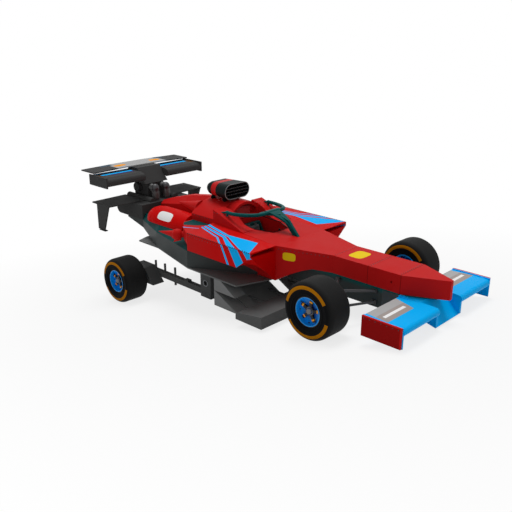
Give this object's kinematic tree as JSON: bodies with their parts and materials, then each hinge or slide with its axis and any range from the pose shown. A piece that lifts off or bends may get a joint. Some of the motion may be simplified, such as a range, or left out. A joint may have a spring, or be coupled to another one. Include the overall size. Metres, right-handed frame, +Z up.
{
  "type": "open wheel racing car",
  "caption": "Open wheel racing car that sits nose-down, with a halo over an open cockpit, an oval intake, front and rear wings, sidepods and steering with turning wheels.",
  "frame": {"origin": "centre of the bounding box on the floor that the wheels stand on", "axes": "+X towards the nose, +Y to the driver's left, +Z up"},
  "size_m": [5.4834, 2.236, 1.9743],
  "materials": {
    "red_paint": "gloss red paint",
    "dark_paint": "satin dark grey paint",
    "teal_black": "gloss teal black carbon",
    "black_carbon": "matt black carbon",
    "light_grey": "satin light grey paint",
    "tyre": "matt rubber with coloured rings",
    "rim": "dark anodised",
    "metal": "satin",
    "seat_fabric": "padded",
    "cyan_paint": "gloss cyan blue paint",
    "deep_red": "satin dark red paint"
  },
  "bodies": {
    "chassis": {"air_scoop": "teal_black", "cockpit_fairings": "red_paint", "engine_block": "metal", "engine_cover": "red_paint", "exhaust_pipes": "metal", "floor_hangers": "dark_paint", "floor_plate": "teal_black", "floor_ramps": "dark_paint", "front_endplates": "deep_red", "front_wing_centre": "cyan_paint", "front_wing_planes": "cyan_paint", "front_wishbones": "metal", "halo": "teal_black", "headrest": "red_paint", "keel": "teal_black", "monocoque": "red_paint", "nose_box": "red_paint", "nose_cone": "red_paint", "pod_tail_cones": "red_paint", "rear_wing_flap": "light_grey", "rear_wing_planes": "dark_paint", "scoop_grille": "metal", "seat": "seat_fabric", "sidepod_left": "red_paint", "sidepod_right": "red_paint", "splitter_board": "dark_paint", "steering_column": "metal", "tail_barrels": "red_paint", "tail_block": "dark_paint", "tail_deck": "red_paint", "tailplanes": "dark_paint", "trailing_arms": "dark_paint", "underbody": "teal_black", "wing_pylon": "dark_paint"},
    "knuckle_left": {"knuckle_left": "metal"},
    "knuckle_right": {"knuckle_right": "metal"},
    "hand_wheel": {"steering_wheel": "black_carbon"},
    "wheel_front_left": {"tyre_front_left": "tyre", "rim_front_left": "rim"},
    "wheel_front_right": {"tyre_front_right": "tyre", "rim_front_right": "rim"},
    "wheel_rear_left": {"tyre_rear_left": "tyre", "rim_rear_left": "rim"},
    "wheel_rear_right": {"tyre_rear_right": "tyre", "rim_rear_right": "rim"}
  },
  "joints": [
    {"name": "steer_left", "type": "hinge", "parent": "chassis", "child": "knuckle_left", "pos_m": [1.66473, 0.6, 0.33], "axis": [0, 0, 1], "range_deg": [-20, 20]},
    {"name": "steer_right", "type": "hinge", "parent": "chassis", "child": "knuckle_right", "pos_m": [1.66473, -0.6, 0.33], "axis": [0, 0, 1], "range_deg": [-20, 20]},
    {"name": "spin_front_left", "type": "hinge", "parent": "knuckle_left", "child": "wheel_front_left", "pos_m": [1.66473, 0.9335, 0.33], "axis": [0, 1, 0], "continuous": true},
    {"name": "spin_front_right", "type": "hinge", "parent": "knuckle_right", "child": "wheel_front_right", "pos_m": [1.66473, -0.9335, 0.33], "axis": [0, 1, 0], "continuous": true},
    {"name": "spin_rear_left", "type": "hinge", "parent": "chassis", "child": "wheel_rear_left", "pos_m": [-2.01827, 0.9075, 0.33], "axis": [0, 1, 0], "continuous": true},
    {"name": "spin_rear_right", "type": "hinge", "parent": "chassis", "child": "wheel_rear_right", "pos_m": [-2.01827, -0.9075, 0.33], "axis": [0, 1, 0], "continuous": true},
    {"name": "steering_wheel_turn", "type": "hinge", "parent": "chassis", "child": "hand_wheel", "pos_m": [0.25891, 0, 0.86471], "axis": [0.9831, 0, -0.1833], "range_deg": [-180, 180]}
  ],
  "couplings": [
    {"joint": "steer_right", "follows": "steer_left", "ratio": 1},
    {"joint": "steering_wheel_turn", "follows": "steer_left", "ratio": -9}
  ]
}
